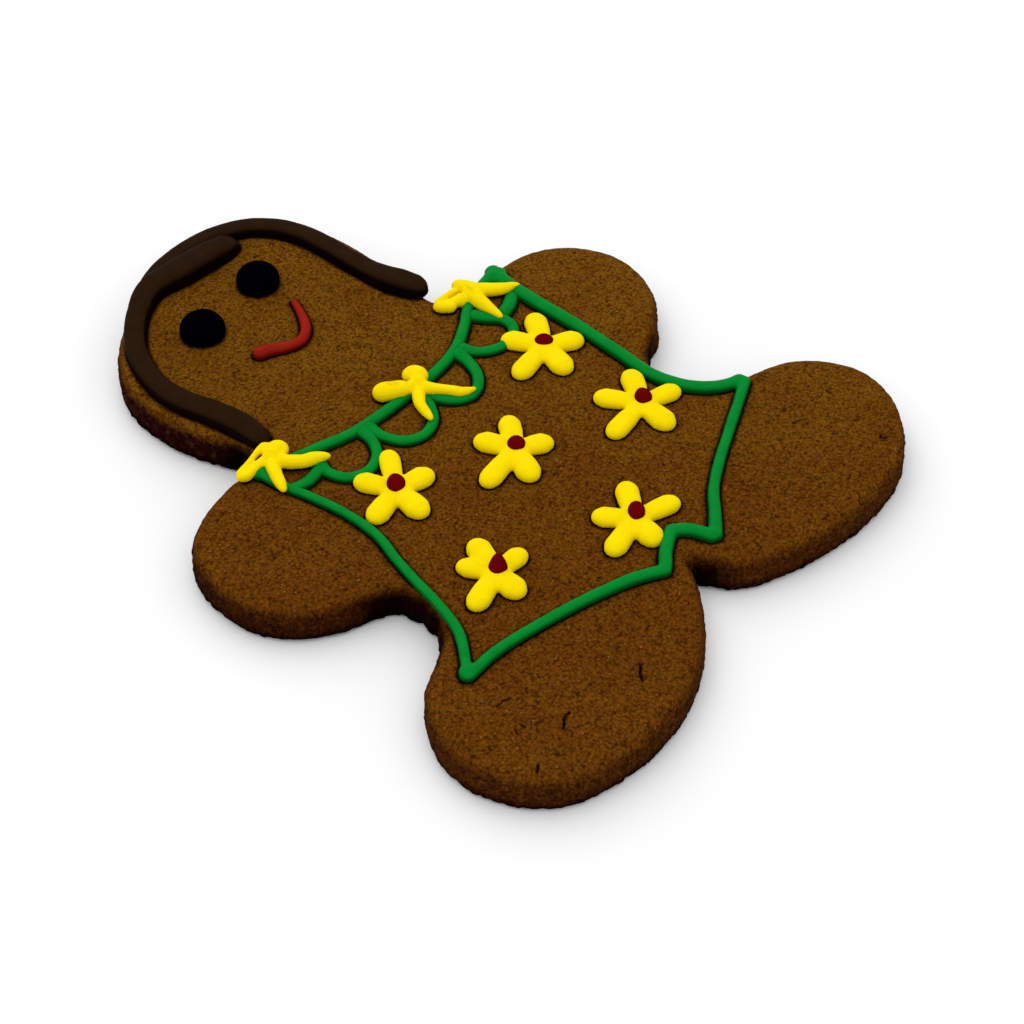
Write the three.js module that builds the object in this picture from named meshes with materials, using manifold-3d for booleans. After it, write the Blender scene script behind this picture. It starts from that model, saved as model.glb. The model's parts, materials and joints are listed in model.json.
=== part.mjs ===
// A decorated gingerbread girl: one baked cookie with piped icing on its top face.
//
// Millimetres, +Z up. The cookie lies on its flat underside with its head towards +Y.
// Every line, dot and flower of icing is a solid of its own that rests on the top face.

import * as THREE from 'three';
import { mergeVertices } from 'three/addons/utils/BufferGeometryUtils.js';
import Module from 'manifold-3d';

const wasm = await Module();
wasm.setup();

// ---------------------------------------------------------------- driving dimensions

const COOKIE_HEIGHT = 7.2; // baked thickness
const TOP_RIM = { reach: 2.6, depth: 3.0, steps: 4 }; // soft, rounded top edge
const BASE_RIM = { reach: 0.7, depth: 0.6, steps: 2 }; // crisper edge on the baking sheet
const KNOT_STEPS = 3; // outline points between two knots

const FIT_GAP = 0.3; // clearance where icing is laid against or over other icing
const BEAD_SIDES = 8; // facets round a bead of icing
const BEAD_STEP = 2.4; // length of a facet along a bead
const CAP_STEPS = 3; // facets over the round end of a bead

// Knots of the cookie's outline at its widest, clockwise from the left of the neck.
const HEAD = [
  [-25.7, 28.5], [-27.9, 35.1], [-28.8, 43.5], [-27.1, 52.4], [-21.5, 60.3], [-12.5, 66.6], [-3.2, 70.3],
  [7, 71], [16.8, 68.2], [24.1, 61.1], [26.3, 51], [25.7, 40.5], [24.2, 30],
];
const RIGHT_SHOULDER = [[23.4, 26.4], [25.6, 23.4]];
const RIGHT_ARM = [
  [31, 22.6], [38.5, 22.8], [45, 21.2], [50.4, 16.8], [53.6, 9], [52.5, 1.6], [48.4, -4.6], [41.1, -9.4],
];
const RIGHT_WAIST = [[35.5, -12.2], [33.6, -14.8], [33, -18.6], [34.4, -23.2], [37.7, -26.5]];
const RIGHT_LEG = [
  [43, -28.5], [49.7, -31.9], [54, -37.7], [55.3, -44.2], [53.1, -50.8], [47.2, -56.8], [39.3, -60.7],
  [29.3, -61.4], [18.3, -59.6], [9.3, -56.3], [3.8, -52.6],
];
const LEG_NOTCH = [[1.6, -48.6], [0.5, -45], [-1.5, -48.2]];
const LEFT_LEG = [
  [-5.1, -52.1], [-11.9, -57.5], [-19.9, -61], [-30, -62.3], [-39.4, -60.9], [-47.4, -57.5], [-52.5, -50.4],
  [-53.9, -42.3], [-51.5, -35.2], [-46.2, -29.4], [-40.3, -26.9],
];
const LEFT_WAIST = [[-36.4, -24.8], [-33.8, -21.2], [-32.8, -17.2], [-33.6, -13.8], [-37.1, -11.4]];
const LEFT_ARM = [
  [-42.5, -9], [-47.9, -4.4], [-51, 2.1], [-51, 9.6], [-48.1, 17.2], [-42, 21.5], [-34, 23.4],
];
const LEFT_SHOULDER = [[-28, 23.6], [-25.5, 25.4]];

// Small baking cracks in the top face.
const CRACKS = [
  { at: [-24.2, -53.8], length: 2.6, turn: 42 },
  { at: [-38.2, -50], length: 2.2, turn: 12 },
  { at: [-41.8, -41.4], length: 1.6, turn: -25 },
  { at: [37.4, -42], length: 2.8, turn: -28 },
  { at: [45.8, -41.9], length: 1.4, turn: 15 },
  { at: [42, -55.4], length: 1.5, turn: -10 },
  { at: [36.4, 7], length: 1.3, turn: 20 },
];
const CRACK = { width: 0.5, depth: 0.7 };

// Hair: a lock over the crown and down the right, then the fringe that sweeps down the left.
const RIGHT_LOCK = {
  route: [[-4, 68.2], [4, 68.9], [10.8, 67.6], [16.2, 64.6], [19.4, 60.6], [21.1, 55.6], [21.4, 49.6],
    [21.1, 42], [21.3, 36], [22.3, 31.2], [23.3, 27.5]],
  halfWidth: [2, 2, 2.05, 2.1, 2.1, 2.1, 2.1, 2.1, 2.2, 2.8, 2.5],
};
const FRINGE = {
  route: [[12.6, 64.4], [6, 64.9], [-0.4, 65.6], [-6.8, 65.9], [-13.2, 63], [-18.2, 58.4], [-21.9, 53.4],
    [-24, 47.6], [-24.4, 42], [-23.2, 36], [-22.6, 30], [-22.9, 24.6]],
  halfWidth: [3.4, 3.7, 3.5, 2.9, 2.2, 2, 1.95, 2.1, 2.25, 2.2, 2.3, 2.1],
  rise: 0.92,
};

const EYES = [
  { name: 'eye_left', at: [-9, 51.5], radius: 3.85 },
  { name: 'eye_right', at: [6.7, 52.9], radius: 3.8 },
];
const EYE_HEIGHT = 3.6;
const EYE_SQUARENESS = 2.4; // 2 is a plain dome, more is a flatter one with a rounder shoulder
const EYE_SIDES = 20;

const MOUTH = {
  route: [[-8.4, 40.2], [-5.7, 39.2], [-2.8, 37.3], [-0.2, 36.5], [2.3, 37.6], [4.4, 40.1], [5.8, 42.5],
    [7, 44.9]],
  halfWidth: [1.4, 1.3, 1.15, 1.1, 1.05, 0.95, 0.8, 0.65],
};

// The dress outline, one piped stroke after another.
const DRESS_STROKES = [
  { route: [[-30, 20.3], [-25, 18.7], [-19, 16.5], [-12, 14.1], [-5, 13.2], [2, 12.8], [9, 12.9], [15, 14.1],
    [20, 16.4], [24.5, 19.1], [29.5, 20.8], [36, 21.7]], halfWidth: 1.08 },
  { route: [[-28.7, 21.8], [-28.5, 16], [-27.5, 10], [-26.8, 3], [-27.4, -4], [-29.5, -10], [-31.3, -16],
    [-33, -22], [-35.3, -27.4], [-41.9, -34.7]], halfWidth: 0.97 },
  { route: [[35.1, 23.4], [33.8, 18.8], [33, 10], [32.4, 0], [31.3, -9.2], [30.4, -15.7], [30.9, -20.2],
    [32.9, -24.8], [36, -27.8], [39.7, -29.3]],
    halfWidth: [1.7, 1.5, 1.4, 1.35, 1.3, 1.25, 1.25, 1.3, 1.3, 1.15] },
  { route: [[-42, -34], [-35, -34.2], [-25, -36.4], [-15.5, -39.4], [-9.1, -42.1], [-4.2, -45.3]],
    halfWidth: [1, 1, 1, 1.05, 1.1, 1.15] },
  { route: [[-5.5, -45], [-1.3, -42.1], [3.6, -39.9]], halfWidth: 1.15 },
  { route: [[1.8, -39.8], [4.3, -42.4], [5.9, -47.4]], halfWidth: 1.25 },
  { route: [[5.2, -47.2], [9.6, -44], [14.1, -40.6], [20.1, -37.5], [28.1, -34.2], [34.1, -31.8],
    [39.8, -29.4]], halfWidth: [1.25, 1.1, 0.98, 0.98, 0.98, 1, 1.1] },
];

// Looped trim below the collar, left to right.
const SCALLOPS = [
  [[-29.2, 13.8], [-25.6, 12.2], [-20.4, 12.8]],
  [[-20.7, 15.8], [-21.7, 11.3], [-20.7, 7.9], [-17.4, 6.2], [-13.6, 7.5], [-11.5, 10.4], [-10.7, 14.3]],
  [[-9.5, 14.3], [-9.6, 9.9], [-8.2, 6.1], [-5, 4.4], [-1.8, 5.2], [0.6, 7.6], [2.1, 11.2]],
  [[2.8, 11.2], [3.7, 7], [6.2, 4.5], [8.9, 4.4], [11.7, 6.4], [13.4, 9.8], [14.2, 14.1]],
  [[15, 14.1], [16.4, 10.4], [19, 8.3], [22.4, 7.8], [25.2, 9.3], [25.8, 12.1], [24.1, 14.9], [23.2, 17.6]],
  [[26.2, 13], [29.3, 13.5], [33.2, 15.8]],
];
const SCALLOP_LINE = 1.08; // half width of the looped trim

// Petals are [direction in degrees, reach, half width], from the hub of their flower.
const FLOWERS = [
  { name: 'flower_upper_left', at: [-17.7, -0.2], dot: { at: [-17.6, 0], size: [1.45, 1.75], turn: -60 },
    petals: [[111, 7.5, 2.3], [50, 9.3, 1.9], [191, 8.4, 2.2], [258, 7.9, 2.3], [343, 7.2, 2.5]] },
  { name: 'flower_upper_right', at: [24.7, 2.1], dot: { at: [24.8, 2.3], size: [1.4, 1.6], turn: -70 },
    petals: [[113, 7.8, 2.4], [51, 8.6, 2.1], [187, 9.6, 2], [250, 8, 2.2], [325, 7.3, 2.5]] },
  { name: 'flower_middle', at: [1.6, -9.6], dot: { at: [1.8, -9.4], size: [1.4, 1.65], turn: -60 },
    petals: [[110, 7.3, 2.4], [48, 7.9, 1.95], [187, 10.3, 1.9], [240, 8, 2.2], [325, 6.7, 2.3]] },
  { name: 'flower_lower_left', at: [-21.9, -24.2], dot: { at: [-21.2, -24], size: [1.95, 1.4], turn: 35 },
    petals: [[114, 6.6, 2.1], [67, 8, 2.1], [193, 8.8, 2], [258, 6.6, 2.2], [354, 6.6, 2]] },
  { name: 'flower_lower_right', at: [23.5, -19.5], dot: { at: [23.8, -19.1], size: [1.8, 1.45], turn: 50 },
    petals: [[117, 8.3, 2.3], [52, 8.4, 2.05], [184, 10.2, 1.9], [257, 7.8, 2.3], [337, 7.5, 2.1]] },
  { name: 'flower_bottom', at: [0.9, -34.4], dot: { at: [1.9, -34], size: [1.9, 1.35], turn: 30 },
    petals: [[123, 7.1, 2.3], [48, 8.5, 2], [190, 9.1, 2], [251, 6.8, 2.3], [339, 8.6, 2.2]] },
];
const PETAL_SWELL = [0.6, 0.75, 0.95, 1, 0.85]; // half width from the hub out to the tip
const PETAL_STEP = 1.9;
const PETAL_RISE = 0.85; // height over half width
const DOT = { seat: 1.15, height: 1.35, sides: 12 }; // seat: depth of icing under the dot

// Loose flowers piped over the collar: arms from the hub, thickest over the collar line.
const STAR_FLOWERS = [
  { name: 'star_flower_left', arms: [
    { route: [[-25.7, 19], [-28.6, 20.6], [-32.6, 21.5]], halfWidth: [1.8, 1.5, 1.3] },
    { route: [[-25.7, 19], [-24.7, 23.7]], halfWidth: [2, 1.8, 1.4] },
    { route: [[-25.7, 19], [-21.5, 21.3]], halfWidth: [2.2, 2.2, 2] },
    { route: [[-25.7, 19], [-22.4, 15.4], [-18.9, 13.1]], halfWidth: [1.8, 1.35, 1.25, 1.35, 0.9] },
    { route: [[-25.7, 19], [-29.7, 13.9]], halfWidth: [1.7, 1.1, 0.8, 0.6] },
  ] },
  { name: 'star_flower_middle', arms: [
    { route: [[2.8, 12.7], [-2.6, 15.7]], halfWidth: [2, 2.1, 2.1] },
    { route: [[2.8, 12.7], [5.7, 15.6]], halfWidth: [2, 2.1, 2] },
    { route: [[2.8, 12.7], [4.7, 8], [8.6, 4]], halfWidth: [1.8, 1.2, 1.05, 1.05, 0.7] },
    { route: [[2.8, 12.7], [1, 8.6], [-2, 5.3]], halfWidth: [1.8, 1.2, 0.95, 0.7] },
  ] },
  { name: 'star_flower_right', arms: [
    { route: [[26.1, 18.9], [22.8, 20.2], [20, 22.9]], halfWidth: [1.8, 1.3, 1.5, 1.6] },
    { route: [[26.1, 18.9], [26.9, 24]], halfWidth: [2, 1.8, 1.5] },
    { route: [[26.1, 18.9], [34.6, 15]], halfWidth: [2, 1.7, 1.4, 0.8] },
    { route: [[26.1, 18.9], [25.9, 12.7]], halfWidth: [1.8, 1.2, 0.95, 0.7] },
  ] },
];
const STAR_RISE = 1.3; // the loose flowers stand taller than they are wide
const STAR_LIFT = 0.9; // height of their widest line above the top face

// ---------------------------------------------------------------- finishes

const finish = (color, roughness) => new THREE.MeshStandardMaterial({ color, roughness, metalness: 0 });
const BAKED = finish(0x6b4423, 0.9);
const CHOCOLATE = finish(0x3a2318, 0.45);
const BLACK = finish(0x070707, 0.8);
const RED = finish(0xb82a2a, 0.45);
const GREEN = finish(0x0b8a45, 0.45);
const YELLOW = finish(0xf6e000, 0.4);
const MAROON = finish(0x7a1512, 0.45);

// ---------------------------------------------------------------- solids

/** A closed geometry as a solid that can be joined and cut. */
function solidOf(geometry) {
  const bare = geometry.clone();
  bare.deleteAttribute('normal');
  bare.deleteAttribute('uv');
  const merged = mergeVertices(bare);
  const corners = merged.getIndex().array;
  const triangles = [];
  for (let i = 0; i < corners.length; i += 3) {
    const [a, b, c] = corners.subarray(i, i + 3);
    if (a !== b && b !== c && c !== a) {
      triangles.push(a, b, c);
    }
  }
  const mesh = new wasm.Mesh({
    numProp: 3,
    vertProperties: new Float32Array(merged.getAttribute('position').array),
    triVerts: new Uint32Array(triangles),
  });
  return new wasm.Manifold(mesh);
}

function geometryOf(solid) {
  const { vertProperties, triVerts } = solid.getMesh();
  const geometry = new THREE.BufferGeometry();
  geometry.setAttribute('position', new THREE.BufferAttribute(new Float32Array(vertProperties), 3));
  geometry.setIndex(new THREE.BufferAttribute(new Uint32Array(triVerts), 1));
  geometry.computeVertexNormals();
  return geometry;
}

const join = (solids) => solids.reduce((whole, solid) => whole.add(solid));

/** The largest body of a solid, without loose scraps. */
function mainBody(solid) {
  return solid.decompose().reduce((best, body) => (body.volume() > best.volume() ? body : best));
}

/** What lies above a level, so that the base is flat there. */
function above(level, solid) {
  const size = 400;
  const air = new THREE.BoxGeometry(size, size, size);
  air.translate(0, 0, level + size / 2);
  return solid.intersect(solidOf(air));
}

// ---------------------------------------------------------------- cookie

/** An outline extruded between two levels, its edges rounded by the given rim. */
function roundedSlab(shape, bottom, top, rim) {
  const geometry = new THREE.ExtrudeGeometry(shape, {
    depth: top - bottom - 2 * rim.depth,
    steps: 1,
    bevelEnabled: true,
    bevelSize: rim.reach,
    bevelOffset: -rim.reach,
    bevelThickness: rim.depth,
    bevelSegments: rim.steps,
  });
  geometry.translate(0, 0, bottom + rim.depth);
  return solidOf(geometry);
}

function cookieOutline() {
  const knots = [
    ...HEAD, ...RIGHT_SHOULDER, ...RIGHT_ARM, ...RIGHT_WAIST, ...RIGHT_LEG, ...LEG_NOTCH,
    ...LEFT_LEG, ...LEFT_WAIST, ...LEFT_ARM, ...LEFT_SHOULDER,
  ].map(([x, y]) => new THREE.Vector3(x, y, 0));
  const curve = new THREE.CatmullRomCurve3(knots, true, 'centripetal');
  const points = curve.getPoints(knots.length * KNOT_STEPS).slice(1);
  return new THREE.Shape(points.map(({ x, y }) => new THREE.Vector2(x, y)));
}

/** A slit opened by baking, as a slender pod to cut out of the top face. */
function crackPod({ at: [x, y], length, turn }) {
  const pod = new THREE.SphereGeometry(1, 8, 6);
  pod.scale(length / 2, CRACK.width / 2, CRACK.depth);
  pod.rotateZ(THREE.MathUtils.degToRad(turn));
  pod.translate(x, y, COOKIE_HEIGHT);
  return solidOf(pod);
}

function cookie() {
  const outline = cookieOutline();
  const farOut = 2 * COOKIE_HEIGHT;
  const softTop = roundedSlab(outline, -farOut, COOKIE_HEIGHT, TOP_RIM);
  const crispBase = roundedSlab(outline, 0, COOKIE_HEIGHT + farOut, BASE_RIM);
  return softTop.intersect(crispBase).subtract(join(CRACKS.map(crackPod)));
}

// ---------------------------------------------------------------- beads of icing

/** The value at a fraction of the way along a list of evenly spaced values. */
function blend(values, fraction) {
  const place = fraction * (values.length - 1);
  const first = Math.min(Math.floor(place), values.length - 2);
  return THREE.MathUtils.lerp(values[first], values[first + 1], place - first);
}

/** Half of a bead's lengthwise section: round ends and a body of changing width. */
function beadProfile(length, halfWidthAt, step) {
  const start = halfWidthAt(0);
  const end = halfWidthAt(1);
  const profile = [];
  for (let i = 0; i < CAP_STEPS; i += 1) {
    const angle = (i / CAP_STEPS) * (Math.PI / 2);
    profile.push(new THREE.Vector2(start * Math.sin(angle), start * (1 - Math.cos(angle))));
  }
  const body = length - start - end;
  const count = Math.max(1, Math.round(body / step));
  for (let i = 0; i <= count; i += 1) {
    const along = start + (body * i) / count;
    profile.push(new THREE.Vector2(halfWidthAt(along / length), along));
  }
  for (let i = CAP_STEPS - 1; i >= 0; i -= 1) {
    const angle = (i / CAP_STEPS) * (Math.PI / 2);
    profile.push(new THREE.Vector2(end * Math.sin(angle), length - end * (1 - Math.cos(angle))));
  }
  return profile;
}

/**
 * A bead of icing along a route from tip to tip. Its widest line lies at the given lift above the
 * top face, and margin makes it that much larger all round.
 */
function bead({ route, halfWidth, rise = 1, lift = 0, step = BEAD_STEP }, margin = 0) {
  const knots = route.map(([x, y]) => new THREE.Vector3(x, y, 0));
  const curve = new THREE.CatmullRomCurve3(knots, false, 'centripetal');
  const length = curve.getLength();
  const widths = Array.isArray(halfWidth) ? halfWidth : [halfWidth, halfWidth];
  const profile = beadProfile(length + 2 * margin, (fraction) => blend(widths, fraction) + margin, step);
  const geometry = new THREE.LatheGeometry(profile, BEAD_SIDES);
  const position = geometry.getAttribute('position');
  for (let i = 0; i < position.count; i += 1) {
    const along = position.getY(i) - margin;
    const fraction = THREE.MathUtils.clamp(along / length, 0, 1);
    const centre = curve.getPointAt(fraction);
    const heading = curve.getTangentAt(fraction);
    centre.addScaledVector(heading, along - fraction * length);
    const aside = position.getX(i);
    const up = lift + position.getZ(i) * rise;
    position.setXYZ(i, centre.x + heading.y * aside, centre.y - heading.x * aside, COOKIE_HEIGHT + up);
  }
  return solidOf(geometry);
}

const onCookie = (solid) => above(COOKIE_HEIGHT, solid);
const stroke = (spec) => onCookie(bead(spec));
const clearanceOf = (specs) => join(specs.map((spec) => bead(spec, FIT_GAP)));

// ---------------------------------------------------------------- eyes and flowers

/** A dome of icing, closed on its axis. */
function dome(radius, height, squareness, sides) {
  const steps = Math.round(sides / 4);
  const profile = [new THREE.Vector2(0, 0)];
  for (let i = 0; i <= steps; i += 1) {
    const angle = (i / steps) * (Math.PI / 2);
    profile.push(new THREE.Vector2(
      radius * Math.cos(angle) ** (2 / squareness),
      height * Math.sin(angle) ** (2 / squareness),
    ));
  }
  profile[profile.length - 1].x = 0;
  const geometry = new THREE.LatheGeometry(profile, sides);
  geometry.rotateX(Math.PI / 2);
  return geometry;
}

function eye({ at: [x, y], radius }) {
  const geometry = dome(radius, EYE_HEIGHT, EYE_SQUARENESS, EYE_SIDES);
  geometry.translate(x, y, COOKIE_HEIGHT);
  return solidOf(geometry);
}

/** Turns a round geometry into a flower's oval dot, or its seat, at a height over the top face. */
function asDot(geometry, { at: [x, y], size, turn }, height, margin = 0) {
  geometry.scale(size[0] + margin, size[1] + margin, 1);
  geometry.rotateZ(THREE.MathUtils.degToRad(turn));
  geometry.translate(x, y, COOKIE_HEIGHT + height);
  return solidOf(geometry);
}

function petal([x, y], [direction, reach, halfWidth]) {
  const angle = THREE.MathUtils.degToRad(direction);
  const inner = 0.6; // the petals overlap a little past the middle of the hub
  return bead({
    route: [
      [x - inner * Math.cos(angle), y - inner * Math.sin(angle)],
      [x + reach * Math.cos(angle), y + reach * Math.sin(angle)],
    ],
    halfWidth: PETAL_SWELL.map((share) => share * halfWidth),
    rise: PETAL_RISE,
    step: PETAL_STEP,
  });
}

/** Five drawn petals with a flat seat for the dot in the middle. */
function flower(spec) {
  const petals = join(spec.petals.map((shape) => petal(spec.at, shape)));
  const seat = new THREE.CylinderGeometry(1, 1, COOKIE_HEIGHT, DOT.sides);
  seat.rotateX(Math.PI / 2);
  return onCookie(petals).subtract(asDot(seat, spec.dot, DOT.seat + COOKIE_HEIGHT / 2, FIT_GAP));
}

const flowerDot = ({ dot }) => asDot(dome(1, DOT.height, 2.2, DOT.sides), dot, DOT.seat);

function starFlower({ arms }) {
  return join(arms.map((arm) => bead({ ...arm, rise: STAR_RISE, lift: STAR_LIFT })));
}

// ---------------------------------------------------------------- assembly

const figure = new THREE.Group();

function add(name, solid, material) {
  const mesh = new THREE.Mesh(geometryOf(solid), material);
  mesh.name = name;
  figure.add(mesh);
}

add('cookie', cookie(), BAKED);

add('hair_right_lock', stroke(RIGHT_LOCK), CHOCOLATE);
add('hair_fringe', mainBody(stroke(FRINGE).subtract(bead(RIGHT_LOCK, FIT_GAP))), CHOCOLATE);
EYES.forEach((spec) => add(spec.name, eye(spec), BLACK));
add('mouth', stroke(MOUTH), RED);

add('dress_outline', join(DRESS_STROKES.map(stroke)), GREEN);

const scallops = SCALLOPS.map((route) => ({ route, halfWidth: SCALLOP_LINE }));
scallops.forEach((spec, i) => {
  const laidBefore = [...DRESS_STROKES, ...scallops.slice(0, i)];
  add(`scallop_${i + 1}`, mainBody(stroke(spec).subtract(clearanceOf(laidBefore))), GREEN);
});

const piping = clearanceOf([...DRESS_STROKES, ...scallops]);
FLOWERS.forEach((spec) => {
  add(spec.name, mainBody(flower(spec).subtract(piping)), YELLOW);
  add(`${spec.name}_dot`, flowerDot(spec), MAROON);
});
STAR_FLOWERS.forEach((spec) => {
  add(spec.name, mainBody(onCookie(starFlower(spec)).subtract(piping)), YELLOW);
});

// The origin is under the middle of the whole.
const middle = new THREE.Box3().setFromObject(figure).getCenter(new THREE.Vector3());
figure.position.set(-middle.x, -middle.y, 0);

export default figure;
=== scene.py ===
"""Iced gingerbread girl: the baked cookie with its piped hair, face, dress and flowers.

Routes are drawn in millimetres, head towards +Y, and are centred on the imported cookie.
"""

import json
import math

import bmesh
import bpy
from bpy.props import FloatProperty, FloatVectorProperty, PointerProperty
from mathutils import Matrix, Vector, noise
from mathutils.bvhtree import BVHTree

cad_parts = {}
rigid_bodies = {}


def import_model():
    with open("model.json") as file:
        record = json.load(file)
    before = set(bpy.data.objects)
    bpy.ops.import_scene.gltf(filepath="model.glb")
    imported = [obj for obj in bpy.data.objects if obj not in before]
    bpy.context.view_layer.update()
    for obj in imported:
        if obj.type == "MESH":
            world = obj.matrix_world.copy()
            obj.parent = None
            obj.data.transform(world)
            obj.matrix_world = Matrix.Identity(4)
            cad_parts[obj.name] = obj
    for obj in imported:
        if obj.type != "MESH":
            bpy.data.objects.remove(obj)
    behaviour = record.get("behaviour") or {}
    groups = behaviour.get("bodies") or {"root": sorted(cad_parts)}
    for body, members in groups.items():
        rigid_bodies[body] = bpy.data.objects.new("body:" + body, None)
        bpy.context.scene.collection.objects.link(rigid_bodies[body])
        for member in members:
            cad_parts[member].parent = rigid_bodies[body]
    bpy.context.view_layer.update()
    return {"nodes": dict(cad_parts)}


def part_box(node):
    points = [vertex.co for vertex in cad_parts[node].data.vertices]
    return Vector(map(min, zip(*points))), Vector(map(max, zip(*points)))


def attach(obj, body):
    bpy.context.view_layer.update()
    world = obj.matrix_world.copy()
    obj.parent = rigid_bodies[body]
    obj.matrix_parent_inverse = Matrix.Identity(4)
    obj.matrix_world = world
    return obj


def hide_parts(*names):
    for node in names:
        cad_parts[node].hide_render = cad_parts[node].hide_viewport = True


bl_info = {
    "name": "Iced Gingerbread Girl",
    "version": (1, 0, 0),
    "blender": (4, 5, 0),
    "location": "3D View > Sidebar > Cookie",
    "description": "Bakes a gingerbread girl and pipes her icing over the packed solids",
    "category": "Add Mesh",
}

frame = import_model()

MM = 0.001
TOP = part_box("cookie")[1].z / MM  # height of the iced face

# ---------------------------------------------------------------- drawn routes, millimetres

EYES = {
    "eye_left": {"at": (-9, 51.5), "radius": 3.95},
    "eye_right": {"at": (6.7, 52.9), "radius": 3.88},
}
EYE_MIDDLE = 1.15  # height above the face at which an eye is widest
EYE_HALF_HEIGHT = 2.75

# A stroke has a route, half widths along it, and how high its section rises for its width.
RIGHT_LOCK = {
    "route": [(-7.5, 67), (-3, 68.3), (4, 68.8), (10.8, 67.6), (16.2, 64.6), (19.4, 60.6),
              (21.1, 55.6), (21.4, 49.6), (21.1, 42), (21.3, 36), (22.3, 31.2), (23.3, 27.5)],
    "widths": [1.7, 1.95, 1.95, 2, 2, 2.05, 2.1, 2.1, 2.1, 2.2, 2.7, 2.4],
    "squareness": 3.8, "lean": 0.1,
}
FRINGE = {
    "route": [(12.6, 63.4), (6, 64.4), (-0.6, 65.3), (-6.8, 66.1), (-12.7, 63.5), (-18.4, 58.7),
              (-21.9, 53.3), (-23.9, 47.5), (-24.3, 42), (-23.2, 36), (-22.5, 30), (-22.9, 23.3)],
    "widths": [2.2, 2.85, 2.95, 2.55, 2.05, 1.95, 1.85, 1.9, 2.1, 2.25, 2.3, 1.7],
    "squareness": 3.8, "lean": -0.04,
}
MOUTH = {
    "route": [(-8.4, 40.2), (-5.7, 39.2), (-2.8, 37.3), (-0.2, 36.5), (2.3, 37.6), (4.4, 40.1),
              (5.8, 42.5), (7, 44.9)],
    "widths": [1.4, 1.3, 1.15, 1.1, 1.05, 0.95, 0.8, 0.65],
    "lift": 0.15,
}

DRESS_STROKES = [
    {"route": [(-30, 20.4), (-25, 18.8), (-19, 16.7), (-12, 14.3), (-5, 13.4), (2, 13),
               (9, 13.1), (15, 14.2), (20, 16.5), (24.5, 19.1), (29.5, 20.8), (36, 21.7)],
     "widths": [1.1, 1.1]},
    {"route": [(-28.7, 21.8), (-28.5, 16), (-27.5, 10), (-26.8, 3), (-27.4, -4), (-29.5, -10),
               (-31.3, -16), (-33, -22), (-35.3, -27.4), (-41.9, -34.7)],
     "widths": [0.95, 0.9, 0.88, 0.9, 0.95]},
    {"route": [(34.9, 23.1), (33.8, 18.8), (33, 10), (32.4, 0), (31.3, -9.2), (30.4, -15.7),
               (30.9, -20.2), (32.9, -24.8), (36, -27.8), (39.7, -29.3)],
     "widths": [1.65, 1.5, 1.4, 1.35, 1.3, 1.25, 1.25, 1.3, 1.3, 1.15]},
    {"route": [(31.9, 19.7), (33.5, 20.9), (34.9, 20.4), (36.3, 19.9)],
     "widths": [1.3, 1.6, 1.6, 1.5]},
    {"route": [(-42, -34), (-35, -34.2), (-25, -36.4), (-15.5, -39.4), (-9.1, -42.1),
               (-4.2, -45.3)],
     "widths": [1.05, 1.02, 1.02, 1.07, 1.15, 1.2]},
    {"route": [(-42.1, -34.4), (-39.5, -32.2)], "widths": [1.1, 1.3, 0.9]},
    {"route": [(-5.5, -45), (-1.3, -42.1), (3.6, -39.9)], "widths": [1.2, 1.2]},
    {"route": [(1.8, -39.8), (4.3, -42.4), (5.9, -47.4)], "widths": [1.3, 1.3]},
    {"route": [(5.2, -47.2), (9.6, -44), (14.1, -40.6), (20.1, -37.5), (28.1, -34.2),
               (34.1, -31.8), (39.8, -29.4)],
     "widths": [1.3, 1.12, 1, 1, 1, 1.02, 1.15]},
]
SCALLOPS = [
    {"route": [(-28.4, 13.8), (-25.5, 12.7), (-20.4, 13.2)], "widths": [1.1, 1.1, 1.2]},
    {"route": [(-20.6, 15.2), (-21.5, 11.6), (-20.5, 8.2), (-17.3, 6.5), (-13.5, 7.8),
               (-11.4, 10.7), (-10.6, 14.1)],
     "widths": [1.6, 1.08, 1.05, 1.04, 1.04, 1.06, 1.55]},
    {"route": [(-9.5, 14.1), (-9.5, 10.2), (-8.1, 6.4), (-5, 4.8), (-1.7, 5.6), (0.7, 8),
               (2.2, 11.6)],
     "widths": [1.6, 1.1, 1.05, 1.04, 1.04, 1.1, 1.35]},
    {"route": [(2.9, 11.6), (3.8, 7.4), (6.3, 4.9), (9, 4.8), (11.8, 6.8), (13.5, 10.2),
               (14.2, 14)],
     "widths": [1.35, 1.1, 1.05, 1.05, 1.08, 1.15, 1.6]},
    {"route": [(15, 14), (16.5, 10.8), (19.1, 8.7), (22.5, 8.2), (25.3, 9.7), (25.9, 12.5),
               (24.3, 15.2), (22.9, 18)],
     "widths": [1.6, 1.1, 1.05, 1.05, 1.1, 1.2, 1.35, 1.5]},
    {"route": [(26.2, 13.2), (29.5, 14), (32.6, 15.6)], "widths": [1.3, 1.35, 1.3]},
]

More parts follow.
